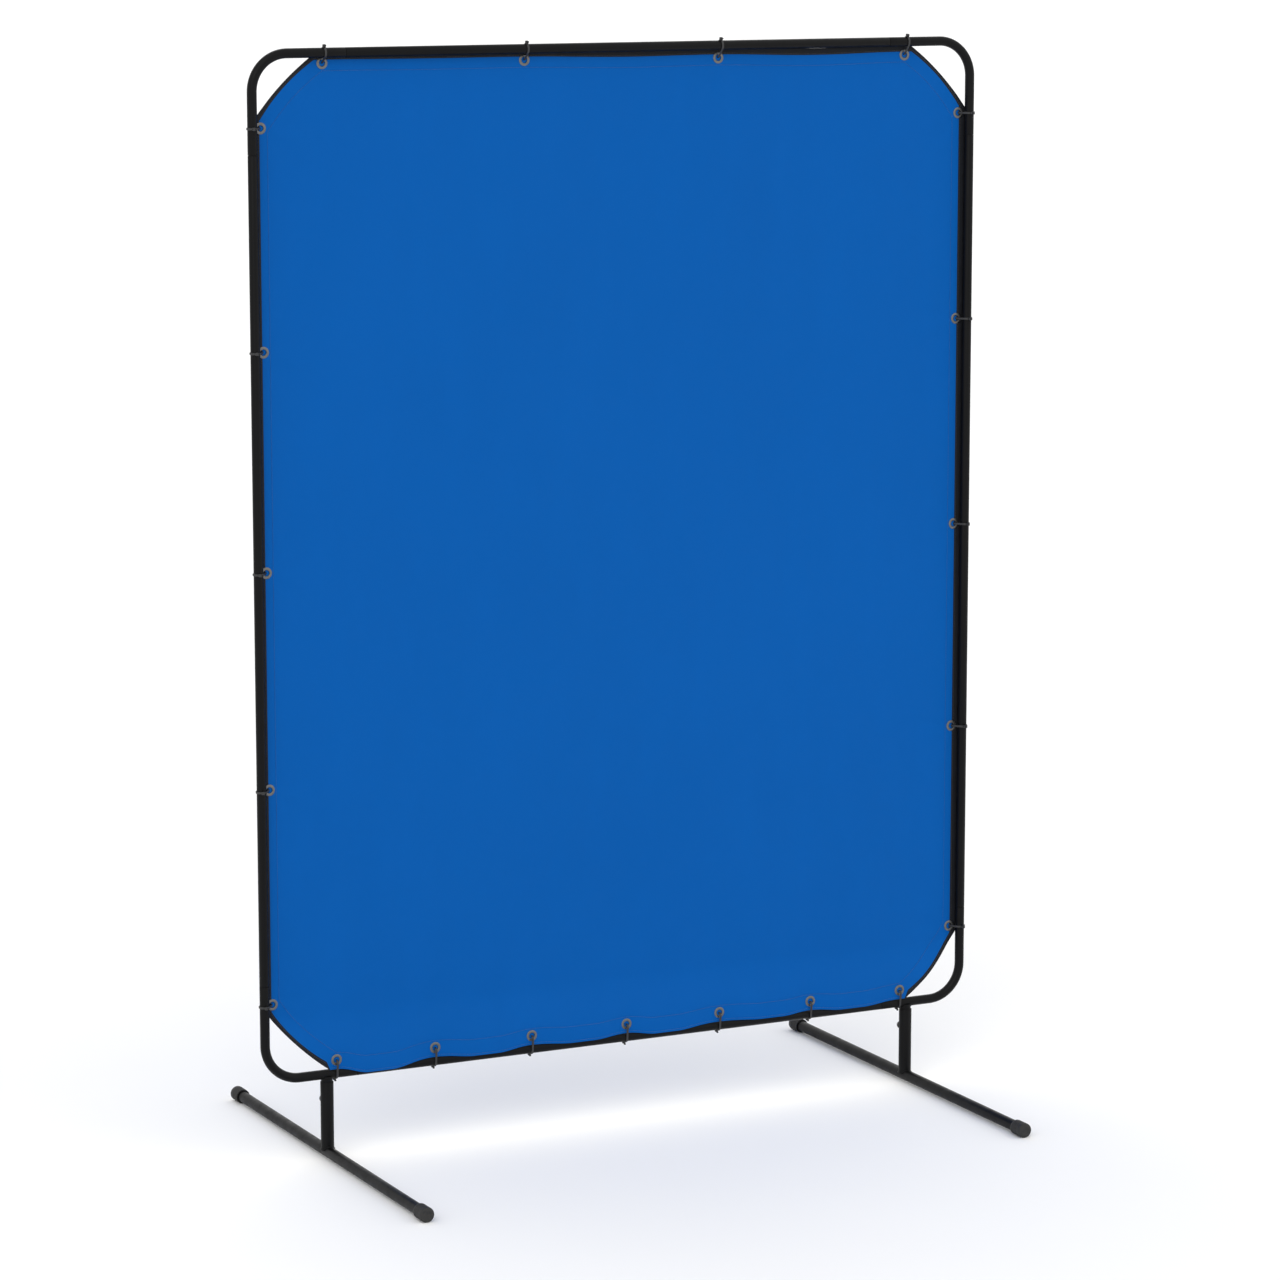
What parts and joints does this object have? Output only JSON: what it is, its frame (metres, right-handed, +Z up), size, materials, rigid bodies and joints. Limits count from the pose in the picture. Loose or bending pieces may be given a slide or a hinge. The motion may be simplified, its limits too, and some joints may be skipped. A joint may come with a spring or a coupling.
{
  "type": "welding curtain screen",
  "caption": "Free-standing welding screen: blue vinyl curtain with cut-off corners, tied inside a round-tube frame with rounded corners on T-shaped feet.",
  "frame": {"origin": "on the floor, under the middle of the screen, at the centre of the foot caps' footprint", "axes": "+X across the screen to the right as seen from its front, +Y to the rear, +Z up"},
  "size_m": [1.335, 0.82, 1.832],
  "materials": {
    "frame_paint": "black powder coat, satin",
    "curtain_vinyl": "blue vinyl-coated cloth, satin",
    "grommet_nickel": "nickel plated",
    "tie_nylon": "black moulded nylon",
    "cap_rubber": "black moulded rubber",
    "bolt_zinc": "zinc plated"
  },
  "bodies": {
    "screen": {"top_left_corner": "frame_paint", "top_right_corner": "frame_paint", "bottom_right_corner": "frame_paint", "bottom_left_corner": "frame_paint", "top_rail": "frame_paint", "bottom_rail": "frame_paint", "left_rail": "frame_paint", "right_rail": "frame_paint", "left_spigot": "frame_paint", "right_spigot": "frame_paint", "curtain": "curtain_vinyl", "top_1_grommet": "grommet_nickel", "top_2_grommet": "grommet_nickel", "top_3_grommet": "grommet_nickel", "top_4_grommet": "grommet_nickel", "bottom_1_grommet": "grommet_nickel", "bottom_2_grommet": "grommet_nickel", "bottom_3_grommet": "grommet_nickel", "bottom_4_grommet": "grommet_nickel", "left_1_grommet": "grommet_nickel", "left_2_grommet": "grommet_nickel", "left_3_grommet": "grommet_nickel", "left_4_grommet": "grommet_nickel", "left_5_grommet": "grommet_nickel", "right_1_grommet": "grommet_nickel", "right_2_grommet": "grommet_nickel", "right_3_grommet": "grommet_nickel", "right_4_grommet": "grommet_nickel", "right_5_grommet": "grommet_nickel", "top_1_tie": "tie_nylon", "top_2_tie": "tie_nylon", "top_3_tie": "tie_nylon", "top_4_tie": "tie_nylon", "bottom_1_tie": "tie_nylon", "bottom_2_tie": "tie_nylon", "bottom_3_tie": "tie_nylon", "bottom_4_tie": "tie_nylon", "left_1_tie": "tie_nylon", "left_2_tie": "tie_nylon", "left_3_tie": "tie_nylon", "left_4_tie": "tie_nylon", "left_5_tie": "tie_nylon", "right_1_tie": "tie_nylon", "right_2_tie": "tie_nylon", "right_3_tie": "tie_nylon", "right_4_tie": "tie_nylon", "right_5_tie": "tie_nylon"},
    "left_foot": {"left_post": "frame_paint", "left_foot_tube": "frame_paint", "left_front_cap": "cap_rubber", "left_rear_cap": "cap_rubber"},
    "left_washer": {"left_clamp_washer": "bolt_zinc"},
    "left_bolt": {"left_clamp_bolt": "bolt_zinc"},
    "right_foot": {"right_post": "frame_paint", "right_foot_tube": "frame_paint", "right_front_cap": "cap_rubber", "right_rear_cap": "cap_rubber"},
    "right_washer": {"right_clamp_washer": "bolt_zinc"},
    "right_bolt": {"right_clamp_bolt": "bolt_zinc"}
  },
  "joints": [
    {"name": "left_foot_swivel", "type": "hinge", "parent": "screen", "child": "left_foot", "pos_m": [-0.5495, 0, 0.012], "axis": [0, 0, 1], "range_deg": [-90, 90]},
    {"name": "left_bolt_slide", "type": "slide", "parent": "left_foot", "child": "left_washer", "axis": [0, 1, 0], "range_m": [0, 0.002]},
    {"name": "left_bolt_turn", "type": "hinge", "parent": "left_washer", "child": "left_bolt", "pos_m": [-0.5495, 0.0173, 0.0985], "axis": [0, 1, 0], "range_deg": [0, 721]},
    {"name": "right_foot_swivel", "type": "hinge", "parent": "screen", "child": "right_foot", "pos_m": [0.5495, 0, 0.012], "axis": [0, 0, 1], "range_deg": [-90, 90]},
    {"name": "right_bolt_slide", "type": "slide", "parent": "right_foot", "child": "right_washer", "axis": [0, 1, 0], "range_m": [0, 0.002]},
    {"name": "right_bolt_turn", "type": "hinge", "parent": "right_washer", "child": "right_bolt", "pos_m": [0.5495, 0.0173, 0.0985], "axis": [0, 1, 0], "range_deg": [0, 721]}
  ],
  "couplings": [
    {"joint": "left_bolt_turn", "follows": "left_bolt_slide", "rad_per_m": 6283.2},
    {"joint": "right_bolt_turn", "follows": "right_bolt_slide", "rad_per_m": 6283.2}
  ]
}
